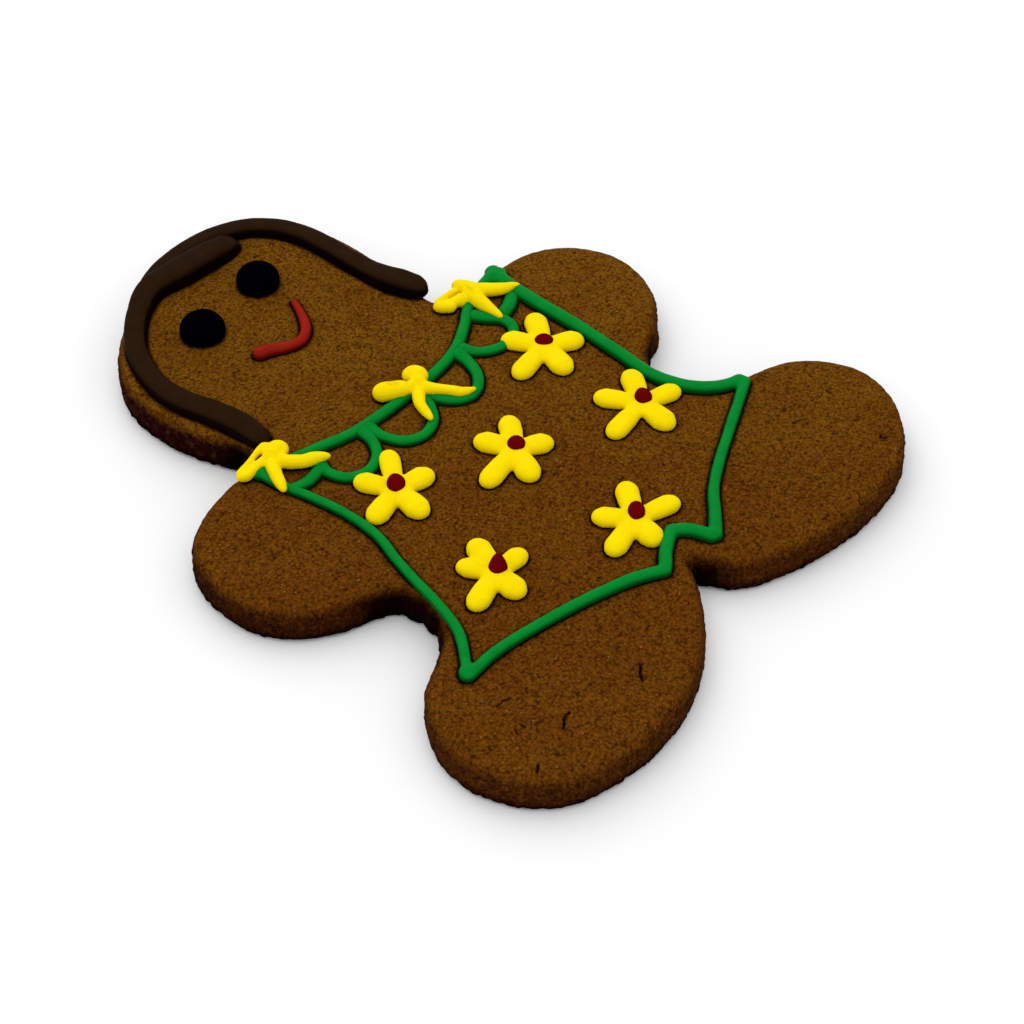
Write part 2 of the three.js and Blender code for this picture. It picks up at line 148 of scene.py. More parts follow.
# Petals are (direction in degrees, reach, half width), from the hub of their flower. A dot's
# pull is how far the icing bag drew its tip aside and up.
FLOWERS = {
    "flower_upper_left": {
        "at": (-17.7, 0),
        "dot": {"at": (-17.35, 0.34), "size": (1.58, 1.95), "height": 1.4, "pull": (-0.4, 0.3, 0.1)},
        "petals": [(111, 7.5, 2.05), (50, 9.3, 1.9), (191, 8.4, 2.1), (258, 7.8, 2.3),
                   (343, 7.2, 2.2)]},
    "flower_upper_right": {
        "at": (24.67, 2.45),
        "dot": {"at": (25.04, 2.78), "size": (1.66, 1.35), "height": 1.3, "pull": (0, 0, 0)},
        "petals": [(113, 7.8, 2.15), (51, 8.6, 2.15), (187, 9.4, 2.05), (250, 8, 2.25),
                   (325, 7.3, 2.2)]},
    "flower_middle": {
        "at": (1.68, -9.35),
        "dot": {"at": (2.04, -9.24), "size": (1.55, 1.64), "height": 1.35, "pull": (0, 0.1, 0)},
        "petals": [(110, 7.4, 2.15), (48, 8, 2.05), (187, 10.1, 2), (240, 8, 2.25),
                   (325, 6.7, 2.1)]},
    "flower_lower_left": {
        "at": (-22, -24.1),
        "dot": {"at": (-21.53, -24.1), "size": (1.53, 1.6), "height": 1.3, "pull": (0, 0.8, 1)},
        "petals": [(114, 6.6, 1.95), (67, 8, 2.15), (193, 8.7, 2.05), (258, 6.6, 2.25),
                   (354, 6.7, 1.9)]},
    "flower_lower_right": {
        "at": (23.58, -19.25),
        "dot": {"at": (24.13, -19.08), "size": (1.52, 1.74), "height": 1.4,
                "pull": (-0.35, 0.35, 0.1)},
        "petals": [(117, 8.4, 2.05), (52, 8.4, 2.1), (184, 10, 1.95), (257, 7.8, 2.3),
                   (337, 7.6, 1.95)]},
    "flower_bottom": {
        "at": (0.95, -34.35),
        "dot": {"at": (1.73, -34.04), "size": (1.41, 2.01), "height": 1.45, "pull": (0, 0.1, 0.1)},
        "petals": [(123, 7.1, 2.05), (48, 8.5, 2.05), (190, 9, 2), (251, 6.8, 2.3),
                   (339, 8.6, 2)]},
}
PETAL_SWELL = [0.62, 0.78, 0.96, 1, 0.88]
PETAL_SECTION = {"rise": 0.72, "lift": 0.3, "squareness": 2.2}
PETAL_ROOT = 0.6  # how far behind the hub a petal starts
HUB_HALF_WIDTH = 2.6  # icing that runs together in the middle of a flower
HUB_SPREAD = 1.1
HUB_RISE = 0.62
DOT_SEAT = 1.15  # depth of yellow icing under a flower's dot
DOT_TURN = -51.7  # degrees from +X to the first side of a dot

# Strokes of the loose flowers, which lie over the collar; dents are pinches in their top.
STAR_FLOWERS = {
    "star_flower_left": {
        "strokes": [
            {"route": [(-26.9, 19.8), (-25.3, 20.1), (-23.8, 20.3)], "widths": [1.9, 2.2, 1.9],
             "lift": 1.2},
            {"route": [(-25, 21.6), (-23.3, 20.8), (-23.2, 18.8)], "widths": [1.2, 1.45, 1.15],
             "lift": 1.6},
            {"route": [(-25.2, 20.4), (-24.7, 21.7), (-24.6, 23.7)], "widths": [1.3, 1.2, 0.95],
             "lift": 1.5},
            {"route": [(-24.6, 23.1), (-26, 23), (-27.9, 22.6), (-30.2, 22.2), (-31.9, 21.9)],
             "widths": [0.8, 0.56, 0.5, 0.52, 0.6], "lift": 1.3},
            {"route": [(-25.9, 20.6), (-27.6, 21), (-29.5, 20.9), (-31.5, 20.7)],
             "widths": [1.1, 0.85, 0.85, 0.95], "lift": 1},
            {"route": [(-32.2, 22), (-31.3, 21.2), (-29.9, 20.5)], "widths": [0.65, 0.95, 0.9],
             "lift": 0.9},
            {"route": [(-25.4, 19.5), (-24.5, 17.4), (-23.8, 16.6), (-22.8, 15.5),
                       (-21.5, 14.8), (-20.2, 13.9), (-19, 12.9)],
             "widths": [1.55, 1.25, 1.2, 1.15, 1.2, 0.95, 0.4], "lift": 1.4},
            {"route": [(-25.9, 19.7), (-27.1, 18.3), (-28.1, 16.7), (-28.9, 15.2), (-29.9, 13.3)],
             "widths": [1.45, 1.25, 1.1, 1, 0.5], "lift": 1.3},
        ],
        "dents": [{"at": (-24.2, 21.2), "radius": 0.55, "depth": 0.25}],
    },
    "star_flower_middle": {
        "strokes": [
            {"route": [(1, 12.8), (2.8, 12.6), (4.5, 12.5)], "widths": [1.8, 2.2, 1.9],
             "lift": 1.2},
            {"route": [(2.6, 15.9), (4.4, 14.6), (4.9, 12.2)], "widths": [1.4, 1.7, 1.4],
             "lift": 1.5},
            {"route": [(1.8, 13), (0.4, 14.1), (-1.2, 15.4), (-3.6, 17.3)],
             "widths": [1.45, 1.7, 1.8, 1.65], "lift": 1.25},
            {"route": [(2.5, 12), (0.9, 10.8), (-0.4, 9.4), (-1.3, 7.5), (-2.2, 5.3)],
             "widths": [1.25, 1.15, 1, 0.9, 0.5], "lift": 1.3},
            {"route": [(2.6, 12.2), (3.3, 10.8), (4.3, 9.2), (5.3, 7.6), (6.1, 5.9), (7.2, 5),
                       (8.5, 4.4)],
             "widths": [1.45, 1.25, 1, 0.88, 0.93, 0.72, 0.3], "lift": 1.3},
        ],
        "dents": [{"at": (4.1, 14.5), "radius": 0.6, "depth": 0.3},
                  {"at": (-0.6, 15.5), "radius": 0.5, "depth": 1},
                  {"at": (0, 14.8), "radius": 0.45, "depth": 0.9}],
    },
    "star_flower_right": {
        "strokes": [
            {"route": [(25.3, 21), (26.7, 20.4), (28.1, 19.8)], "widths": [2, 2.4, 2],
             "lift": 1.1},
            {"route": [(27.4, 21), (27.3, 22.5), (26.4, 24.6)], "widths": [1.5, 1.3, 1.05],
             "lift": 1.5},
            {"route": [(26.9, 22.7), (28, 21.1), (28.4, 19.6)], "widths": [1.15, 1.3, 1.15],
             "lift": 1.4},
            {"route": [(25.7, 22.4), (24.5, 22.7), (23, 23)], "widths": [0.7, 0.65, 0.5],
             "lift": 0.2},
            {"route": [(27.1, 22.5), (25.4, 23.2), (23.2, 23.5), (20.9, 23.5)],
             "widths": [0.75, 0.62, 0.6, 0.7], "lift": 1.3},
            {"route": [(25.6, 20.5), (24.3, 21.1), (22.9, 21.7), (21.2, 22.5)],
             "widths": [1.5, 1.1, 0.95, 0.95], "lift": 1},
            {"route": [(20.4, 23.8), (21.6, 22.1), (22.9, 20.5)], "widths": [0.95, 1.1, 1],
             "lift": 0.9},
            {"route": [(27.2, 21), (28.8, 19.5), (30, 18.1), (31.5, 16.7), (33.1, 15.9),
                       (34.2, 15.1)],
             "widths": [1.5, 1.3, 1.3, 1.2, 0.85, 0.35], "lift": 1.4},
            {"route": [(26.9, 21.5), (26.6, 19.5), (26.2, 17.6), (25.8, 15.1), (25.6, 13.2),
                       (25.4, 12.2)],
             "widths": [1.7, 1.7, 1.4, 1.15, 0.85, 0.45], "lift": 1.2},
        ],
        "dents": [],
    },
}

# Slits and pits that opened in baking, as routes on the top face; faint ones are less open.
# How open a slit is sets its depth and how strongly painted shade darkens it.
CRACKS = [
    {"route": [(-22.8, -52.9), (-24.15, -53.7), (-25.2, -54.85)], "width": 0.2, "open": 1},
    {"route": [(-38.2, -49.9), (-39, -50.55), (-39.9, -51.15)], "width": 0.17, "open": 1},
    {"route": [(-37, -50), (-37.6, -49.9), (-38.2, -49.9)], "width": 0.15, "open": 0.9},
    {"route": [(-42.65, -40.8), (-41.45, -40.8), (-40.5, -41.3)], "width": 0.13, "open": 0.75},
    {"route": [(-43.3, -45.6), (-43.3, -46.5)], "width": 0.13, "open": 0.85},
    {"route": [(-42, -47.4), (-41, -47.7)], "width": 0.11, "open": 0.65},
    {"route": [(-44.35, -53), (-44.2, -53.8)], "width": 0.14, "open": 0.75},
    {"route": [(-47.6, -52.3), (-48.6, -52.95)], "width": 0.16, "open": 0.85},
    {"route": [(-22, -47.9), (-22.9, -48.2)], "width": 0.1, "open": 0.6},
    {"route": [(-33.35, -55.2), (-32.7, -55.45)], "width": 0.14, "open": 0.55},
    {"route": [(-49.6, -44.8), (-49.8, -45.2)], "width": 0.15, "open": 0.7},
    {"route": [(-44.8, -46.1), (-44.95, -46.4)], "width": 0.14, "open": 0.7},
    {"route": [(-41.7, 10.1), (-39.6, 9.05)], "width": 0.15, "open": 0.45},
    {"route": [(-41, 6.5), (-39.6, 5.8)], "width": 0.14, "open": 0.4},
    {"route": [(45.95, -41.75), (45.9, -42.6)], "width": 0.18, "open": 0.9},
    {"route": [(35.7, -41.6), (37, -42.25), (38.4, -43.05)], "width": 0.11, "open": 0.8},
    {"route": [(41.95, -54.95), (42.25, -55.8)], "width": 0.18, "open": 0.95},
    {"route": [(39.9, -46.9), (41.2, -47.5)], "width": 0.1, "open": 0.45},
    {"route": [(21.5, -51.7), (22.1, -52.8)], "width": 0.12, "open": 0.5},
    {"route": [(37, 7.7), (36.2, 6.9)], "width": 0.13, "open": 0.5},
]
CRACK_DEPTH = 0.6
CRACK_SPAN = 5  # no slit reaches as far from its start
CRACK_JAGS = 2.2  # jags of its rim in a millimetre

# Crumbs that stand out from the cut edge, and chips where one has gone.
EDGE_CRUMBS = [
    {"at": (42.5, -9), "radius": 1.3, "out": 0.65},
    {"at": (40, -10.8), "radius": 1, "out": -0.4},
    {"at": (-32, -15.9), "radius": 1.2, "out": 0.8},
    {"at": (-33.2, -19.6), "radius": 1, "out": 0.45},
    {"at": (-34.2, -21.4), "radius": 0.8, "out": -0.4},
    {"at": (-35.6, -23.7), "radius": 0.9, "out": 0.4},
    {"at": (0.8, -47.8), "radius": 1.1, "out": 0.4},
]

# ---------------------------------------------------------------- settings a user would change


def length_setting(name, description, millimetres):
    return FloatProperty(
        name=name, description=description, default=millimetres * MM, unit="LENGTH", precision=5)


def color_setting(name, description, color):
    return FloatVectorProperty(
        name=name, description=description, default=color, subtype="COLOR", min=0, max=1)


class BakedDough(bpy.types.PropertyGroup):
    """The cookie itself."""

    crumb: length_setting("Crumb", "Size of the mesh's faces", 0.66)
    wall_relief: length_setting("Wall relief", "Depth of the crags round the cut edge", 0.2)
    top_relief: length_setting("Top relief", "Depth of the crumb on the top face", 0.05)
    light: color_setting("Light crumb", "Colour of the grains", (0.214, 0.0856, 0.005))
    dark: color_setting("Dark crumb", "Colour between the grains", (0.028, 0.0066, 0.0003))


class PipedIcing(bpy.types.PropertyGroup):
    """The icing."""

    skin: length_setting("Skin", "Size of the icing's mesh faces", 0.2)
    sink: length_setting("Sink", "Depth that the icing is bedded in the crumb", 0.35)
    wobble: length_setting("Wobble", "Unevenness left by the piping hand", 0.07)
    brown: color_setting("Hair", "Colour of the hair", (0.0187, 0.0079, 0.0026))
    black: color_setting("Eyes", "Colour of the eyes", (0.0003, 0.0002, 0.0011))
    red: color_setting("Mouth", "Colour of the mouth", (0.245, 0.0105, 0.0042))
    green: color_setting("Dress", "Colour of the dress outline", (0.0006, 0.21, 0.024))
    yellow: color_setting("Flowers", "Colour of the petals", (0.865, 0.668, 0.0009))
    maroon: color_setting("Dots", "Colour of the flowers' dots", (0.118, 0.0016, 0.0014))


class CookieStage(bpy.types.PropertyGroup):
    """Floor, light and camera."""

    floor: color_setting("Floor", "Colour of the floor", (0.89, 0.89, 0.89))
    back_light: FloatProperty(
        name="Back light", description="Power of the large light behind the head",
        default=3.1, unit="POWER")
    top_light: FloatProperty(
        name="Top light", description="Power of the large light overhead",
        default=4.5, unit="POWER")
    room_light: FloatProperty(
        name="Room light", description="Strength of the light from all round", default=0.95)
    lens: FloatProperty(
        name="Lens", description="Focal length on a 36 mm sensor", default=82.6,
        unit="CAMERA")


# ---------------------------------------------------------------- places and routes

EYE_PLACE = Vector((*EYES["eye_left"]["at"], 0))
DRAWN_TO_FRAME = sum(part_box("eye_left"), Vector()) / 2 - EYE_PLACE * MM
DRAWN_TO_FRAME.z = 0
UP = Vector((0, 0, 1))


def placed(x, y, z=TOP):
    """A drawn place, in millimetres, as a point in the frame."""
    return Vector((x, y, z)) * MM + DRAWN_TO_FRAME


def eased(value, low, high):
    """0 below low, 1 above high, and a soft slope between them."""
    share = min(max((value - low) / (high - low), 0), 1)
    return share * share * (3 - 2 * share)


def curve_between(before, start, end, after, share):
    """A point on the centripetal curve from start to end."""
    left, middle, right = (
        math.sqrt((b - a).length) for a, b in ((before, start), (start, end), (end, after)))
    leaving = (start - before) / left - (end - before) / (left + middle) + (end - start) / middle
    coming = (end - start) / middle - (after - start) / (middle + right) + (after - end) / right
    leaving *= middle
    coming *= middle
    slope = 3 * (end - start) - 2 * leaving - coming
    bend = 2 * (start - end) + leaving + coming
    return start + share * (leaving + share * (slope + share * bend))


def drawn_line(route, steps=24):
    """The smooth line through a route's knots, as close points."""
    knots = [Vector((x, y, 0)) for x, y in route]
    knots = [2 * knots[0] - knots[1], *knots, 2 * knots[-1] - knots[-2]]
    line = [knots[1]]
    for i in range(1, len(knots) - 2):
        around = knots[i - 1:i + 3]
        line += [curve_between(*around, step / steps) for step in range(1, steps + 1)]
    return line


def along(line, distances):
    """Points and headings at the given rising distances along a line."""
    places = []
    done = 0.0
    i = 0
    for distance in distances:
        while i < len(line) - 2 and done + (line[i + 1] - line[i]).length < distance:
            done += (line[i + 1] - line[i]).length
            i += 1
        run = line[i + 1] - line[i]
        places.append((line[i] + run * ((distance - done) / run.length), run.normalized()))
    return places


def blended(values, share):
    """The value at a share of the way along evenly spaced values."""
    spot = share * (len(values) - 1)
    first = min(int(spot), len(values) - 2)
    return values[first] + (values[first + 1] - values[first]) * (spot - first)


# ---------------------------------------------------------------- meshes


ROUNDNESS = 5  # bevel resolution of the tube that a bead is bent from
CAP_STEPS = 6  # sections that round off each end of a bead
SECTION_GAP = 0.45  # millimetres between its other sections
THINNEST = 0.01  # half width at its very tips, millimetres
DROP_SEGMENTS = 64
DOT_RINGS = 36
EYE_RINGS = 40
DOT_SHOULDER = 0.9  # power that fills out a dot's section; 1 leaves it round
PULL_POWER = 3  # the higher, the nearer a dot's pull stays to its tip
SOFTNESS = 0.5  # share of the way that a round of softening moves a point
BROAD_WOBBLE = 4.5  # millimetres across
SMALL_WOBBLE = 1.7
DENT_FLOOR = 0.8  # height above the face under which a dent leaves the icing alone
FLANK_SLOPES = (0.2, 0.85)  # upward share of the normal on a full flank and on a level top


def linked(name, data):
    """A new object of the given data in the scene."""
    holder = bpy.data.objects.new(name, data)
    bpy.context.scene.collection.objects.link(holder)
    return holder


def bmesh_from(mesh):
    bm = bmesh.new()
    bm.from_mesh(mesh)
    return bm


def mesh_from(bm, name):
    """A new mesh of a bmesh; the bmesh is freed."""
    mesh = bpy.data.meshes.new(name)
    bm.to_mesh(mesh)
    bm.free()
    return mesh


def smoothly_shaded(mesh):
    mesh.polygons.foreach_set("use_smooth", [True] * len(mesh.polygons))


def evaluated_mesh(holder):
    """A new mesh of an object with its modifiers applied; the object is removed."""
    graph = bpy.context.evaluated_depsgraph_get()
    mesh = bpy.data.meshes.new_from_object(holder.evaluated_get(graph))
    bpy.data.objects.remove(holder)
    return mesh


def bead_sections(length, widths):
    """Distances along a bead and its half widths there, with round ends."""
    start, end = widths[0], widths[-1]
    cap = [math.pi / 2 * i / CAP_STEPS for i in range(CAP_STEPS)]
    body = max(2, round((length - start - end) / SECTION_GAP))
    sections = [(start * (1 - math.cos(a)), start * math.sin(a)) for a in cap]
    for i in range(body + 1):
        distance = start + (length - start - end) * i / body
        sections.append((distance, blended(widths, distance / length)))
    sections += [(length - end * (1 - math.cos(a)), end * math.sin(a)) for a in reversed(cap)]
    return [(distance, max(radius, THINNEST)) for distance, radius in sections]


def round_tube(places, sections):
    """A mesh of a round tube along a bead's line, with a ring of points at each section."""
    tube = bpy.data.curves.new("bead", "CURVE")
    tube.dimensions = "3D"
    tube.bevel_depth = 1.0
    tube.bevel_resolution = ROUNDNESS
    spline = tube.splines.new("POLY")
    spline.points.add(len(sections) - 1)
    for point, (centre, _), (_, radius) in zip(spline.points, places, sections):
        point.co = (*centre, 1)
        point.radius = radius
    mesh = evaluated_mesh(linked("bead", tube))
    bpy.data.curves.remove(tube)
    return mesh


def squared(value, squareness):
    """A place across a round section, from -1 to 1, as it lies on a squarer one."""
    return math.copysign(min(abs(value), 1) ** (2 / squareness), value)


def bead(bm, route, widths, rise=1.0, lift=0.0, squareness=2.0, lean=0.0):
    """Adds a bead of icing along a route, leaning up towards its right by a share of its height."""
    sink = bpy.context.scene.piped_icing.sink / MM
    line = drawn_line(route)
    length = sum((b - a).length for a, b in zip(line, line[1:]))
    sections = bead_sections(length, widths)
    places = along(line, [distance for distance, _ in sections])
    mesh = round_tube(places, sections)
    ring = len(mesh.vertices) // len(sections)
    for vertex in mesh.vertices:
        centre, heading = places[vertex.index // ring]
        radius = sections[vertex.index // ring][1]
        right = heading.cross(UP)
        across = squared((vertex.co - centre).dot(right) / radius, squareness)
        up = squared(vertex.co.z / radius, squareness)
        spot = centre + right * across * radius
        height = lift + up * radius * rise * (1 + lean * across)
        vertex.co = placed(spot.x, spot.y, TOP + max(height, -sink))
    closed = bmesh_from(mesh)
    bmesh.ops.holes_fill(closed, edges=closed.edges[:])
    bmesh.ops.recalc_face_normals(closed, faces=closed.faces[:])
    closed.to_mesh(mesh)
    closed.free()
    bm.from_mesh(mesh)
    bpy.data.meshes.remove(mesh)


def dropped_dot(bm, at, size, height, pull):
    """Adds a small round-shouldered drop of icing with its tip pulled aside and up."""
    sink = bpy.context.scene.piped_icing.sink / MM
    made = bmesh.ops.create_uvsphere(
        bm, u_segments=DROP_SEGMENTS, v_segments=DOT_RINGS, radius=1)
    turned = Matrix.Rotation(math.radians(DOT_TURN), 3, "Z")
    for vertex in made["verts"]:
        x, y, z = vertex.co
        flat = math.hypot(x, y)
        swell = flat ** DOT_SHOULDER / flat if flat > 1e-6 else 0
        spot = Vector((x * swell * size[0], y * swell * size[1], -sink))
        if z > 0:
            spot.z = z ** DOT_SHOULDER * height
            spot += Vector(pull) * z ** PULL_POWER
        spot = turned @ spot
        vertex.co = placed(at[0] + spot.x, at[1] + spot.y, TOP + DOT_SEAT + spot.z)


def fat_drop(bm, at, radius):
    """Adds a fat round drop of icing, widest a little above the face that it sits on."""
    sink = bpy.context.scene.piped_icing.sink / MM
    made = bmesh.ops.create_uvsphere(
        bm, u_segments=DROP_SEGMENTS, v_segments=EYE_RINGS, radius=1)
    for vertex in made["verts"]:
        x, y, z = vertex.co
        height = max(EYE_MIDDLE + z * EYE_HALF_HEIGHT, -sink)
        vertex.co = placed(at[0] + x * radius, at[1] + y * radius, TOP + height)


def piece_from(bm, name, replaced, material):
    """Makes a piece of a mesh, riding on the cookie in place of the solids it replaces."""
    piece = linked(name, mesh_from(bm, name))
    piece.data.materials.append(material)
    smoothly_shaded(piece.data)
    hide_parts(*replaced)
    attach(piece, "root")


def remeshed(bm, face_size, softening):
    """Melts overlapping closed shells into one even skin and softens it."""
    mesh = mesh_from(bm, "melting")
    holder = linked("melting", mesh)
    melt = holder.modifiers.new("melt", "REMESH")
    melt.mode = "VOXEL"
    melt.voxel_size = face_size
    soften = holder.modifiers.new("soften", "SMOOTH")
    soften.factor = SOFTNESS
    soften.iterations = softening
    melted = evaluated_mesh(holder)
    skin = bmesh_from(melted)
    bpy.data.meshes.remove(mesh)
    bpy.data.meshes.remove(melted)
    return skin


def wobbled(bm):
    """Gives icing the slight unevenness of piping by hand."""
    depth = bpy.context.scene.piped_icing.wobble
    bm.normal_update()
    for vertex in bm.verts:
        spot = vertex.co / MM
        if spot.z > TOP:
            small = noise.noise(spot / SMALL_WOBBLE + Vector((9, 0, 0)))
            swell = noise.noise(spot / BROAD_WOBBLE) + 0.45 * small
            vertex.co += vertex.normal * depth * swell
    return bm


def dented(bm, dents):
    """Pinches the top of the icing at the given places."""
    for vertex in bm.verts:
        if vertex.co.z < (TOP + DENT_FLOOR) * MM:
            continue
        for dent in dents:
            gap = (vertex.co - placed(*dent["at"])).xy.length / MM
            vertex.co.z -= dent["depth"] * MM * (1 - eased(gap, 0, 2 * dent["radius"]))
    return bm


def flank_marked(bm):
    """Notes how steep the icing is at each point, from 0 on top to 1 on its flanks, where its
    material paints shade.
    """
    bm.normal_update()
    flank = bm.verts.layers.float.new("flank")
    for vertex in bm.verts:
        vertex[flank] = 1 - eased(vertex.normal.z, *FLANK_SLOPES)
    return bm


def iced(bm, node, color, dents=()):
    """Finishes a piece of icing that stands for a solid."""
    bm = flank_marked(dented(wobbled(bm), dents))
    piece_from(bm, f"icing_{node}", [node], bpy.data.materials[f"{color} icing"])


def piped(node, beads, color, softening=6, dents=()):
    """A piece of icing made of beads that melt together."""
    bm = bmesh.new()
    for stroke in beads:
        bead(bm, **stroke)
    iced(remeshed(bm, bpy.context.scene.piped_icing.skin, softening), node, color, dents)


# ---------------------------------------------------------------- materials


MIX_SOCKETS = (0, 6, 7)  # factor and the two colours of a Mix node

# What each darkening leaves of the crumb's red, green and blue. The first tint serves both
# toast in patches and painted shade that deepens towards the lower left; pits and pocks are
# the dough's own marks; the wall tint is partly baked colour, partly painted shade; the foot
# tint and the one after it only darken towards the bottom; the hollow, seam and crack tints
# are painted shade.
TINTS = {
    "toast_and_shade": (0.8, 0.64, 0.7),
    "pit": (0.3, 0.15, 0.2),
    "wall": (0.14, 0.015, 0.6),
    "pock": (0.35, 0.25, 0.35),
    "foot": (0.36, 0.2, 0.27),
    "bottom_band": (0.2, 0.12, 0.15),
    "hollow": (0.12, 0.04, 0.1),
    "seam": (0.06, 0.03, 0.03),
    "crack": (0.08, 0.02, 0.05),
}
SUGAR = (0.31, 0.16, 0.04)

# What the dough's patterns measure across, millimetres.
GRAIN = 0.51
CLUMP = 1.4
TOAST_PATCH = 9.0
SPECK = 0.9
POCK = 0.8
RAGGED = 1.2

# An icing's shade is painted shade that its foot and flanks take, what they keep of its red,
# green and blue. Foot and depth say how strongly they take it, and skin is the depth of its
# ripples in millimetres.
ICINGS = {
    "brown": {"shade": (0.13, 0.06, 0.08), "sheen": 0.36, "specular": 0.005, "foot": 1.0,
              "depth": 0.9},
    "black": {"shade": (0.8, 0.8, 0.8), "sheen": 0.8, "specular": 0.0},
    "red": {"shade": (0.22, 0.06, 0.1), "sheen": 0.36, "specular": 0.018, "foot": 1.0,
            "depth": 0.7},
    "green": {"shade": (0.1, 0.2, 0.06), "sheen": 0.3, "specular": 0.018, "foot": 1.0,
              "depth": 0.85},
    "yellow": {"shade": (0.85, 0.66, 0.5), "sheen": 0.36, "specular": 0.01, "foot": 0.7,
               "depth": 0.22, "skin": 0.04},
    "maroon": {"shade": (0.5, 0.4, 0.4), "sheen": 0.5, "specular": 0.0},
}
# The painted shade at an icing's foot fades out between these heights above the face.
ICING_FOOT = (-0.1, 0.8)  # heights above the face between which an icing's foot fades


class Recipe:
    """Adds nodes to a node tree and links them."""

    def __init__(self, tree):
        self.tree = tree

    def node(self, kind, inputs=None, **settings):
        node = self.tree.nodes.new(kind)
        for name, value in settings.items():
            setattr(node, name, value)
        for name, value in (inputs or {}).items():
            self.feed(node.inputs[name], value)
        return node

    def feed(self, socket, value):
        if isinstance(value, bpy.types.NodeSocket):
            self.tree.links.new(value, socket)
        else:
            socket.default_value = value

    def math(self, operation, *values, clamp=False):
        node = self.node("ShaderNodeMath", operation=operation, use_clamp=clamp)
        for socket, value in zip(node.inputs, values):
            self.feed(socket, value)
        return node.outputs[0]

    def plus(self, first, second, clamp=False):
        return self.math("ADD", first, second, clamp=clamp)

    def times(self, first, second):
        return self.math("MULTIPLY", first, second)

    def mix(self, blend, share, first, second):
        node = self.node("ShaderNodeMix", data_type="RGBA", blend_type=blend, clamp_factor=True)
        for number, value in zip(MIX_SOCKETS, (share, first, second)):
            self.feed(node.inputs[number], value)
        return node.outputs[2]

    def tinted(self, color, share, tint):
        """The colour with the named tint laid over a share of it."""
        return self.mix("MULTIPLY", share, color, (*TINTS[tint], 1))

    def place(self):
        return self.node("ShaderNodeTexCoord").outputs["Object"]

    def split(self, place):
        return self.node("ShaderNodeSeparateXYZ", {"Vector": place}).outputs

    def attribute(self, name):
        return self.node("ShaderNodeAttribute", attribute_name=name).outputs["Fac"]

    def noise(self, place, size, detail=3.0, roughness=0.5):
        """Noise with features of about the given size in millimetres, from 0 to 1."""
        return self.node("ShaderNodeTexNoise", {
            "Vector": place, "Scale": 1 / (size * MM), "Detail": detail, "Roughness": roughness,
        }).outputs["Fac"]

    def ramp(self, value, low, high, bottom=0.0, top=1.0):
        """Bottom below low, top above high, and a soft slope between them."""
        return self.node("ShaderNodeMapRange", {
            "Value": value, "From Min": low, "From Max": high, "To Min": bottom, "To Max": top,
        }, interpolation_type="SMOOTHSTEP").outputs["Result"]

    def fade(self, value, low, high):
        return self.ramp(value, low, high, 1.0, 0.0)


def group(name, inputs, outputs):
    """A shader node group with named sockets, and the recipe that fills it."""
    tree = bpy.data.node_groups.new(name, "ShaderNodeTree")
    for label, kind, value in inputs:
        socket = tree.interface.new_socket(name=label, in_out="INPUT", socket_type=kind)
        socket.default_value = value
    for label, kind in outputs:
        tree.interface.new_socket(name=label, in_out="OUTPUT", socket_type=kind)
    return Recipe(tree), tree.nodes.new("NodeGroupInput"), tree.nodes.new("NodeGroupOutput")


def grain_group():
    """Fine grain: a mottled value and a height."""
    recipe, given, result = group(
        "Fine grain",
        [("Size", "NodeSocketFloat", 0.5), ("Contrast", "NodeSocketFloat", 1.0)],
        [("Value", "NodeSocketFloat"), ("Height", "NodeSocketFloat")])
    place = recipe.place()
    scale = recipe.math("DIVIDE", 1 / MM, given.outputs["Size"])
    fine = recipe.node("ShaderNodeTexNoise", {
        "Vector": place, "Scale": scale, "Detail": 3.0, "Roughness": 0.6}).outputs["Fac"]
    grains = recipe.node("ShaderNodeTexVoronoi", {
        "Vector": place, "Scale": scale}, feature="F1").outputs["Distance"]
    grain_edge = 0.52  # distance from a grain's middle at which it adds nothing
    rounded = recipe.times(recipe.math("SUBTRACT", grain_edge, grains), 0.4)
    both = recipe.plus(fine, rounded)
    spread = recipe.times(recipe.math("SUBTRACT", both, 0.5), given.outputs["Contrast"])
    recipe.feed(result.inputs["Value"], recipe.plus(spread, 0.5, clamp=True))
    recipe.feed(result.inputs["Height"], both)


def fine_grain(recipe, size, contrast):
    fine = recipe.node("ShaderNodeGroup", node_tree=bpy.data.node_groups["Fine grain"])
    recipe.feed(fine.inputs["Size"], size)
    recipe.feed(fine.inputs["Contrast"], contrast)
    return fine


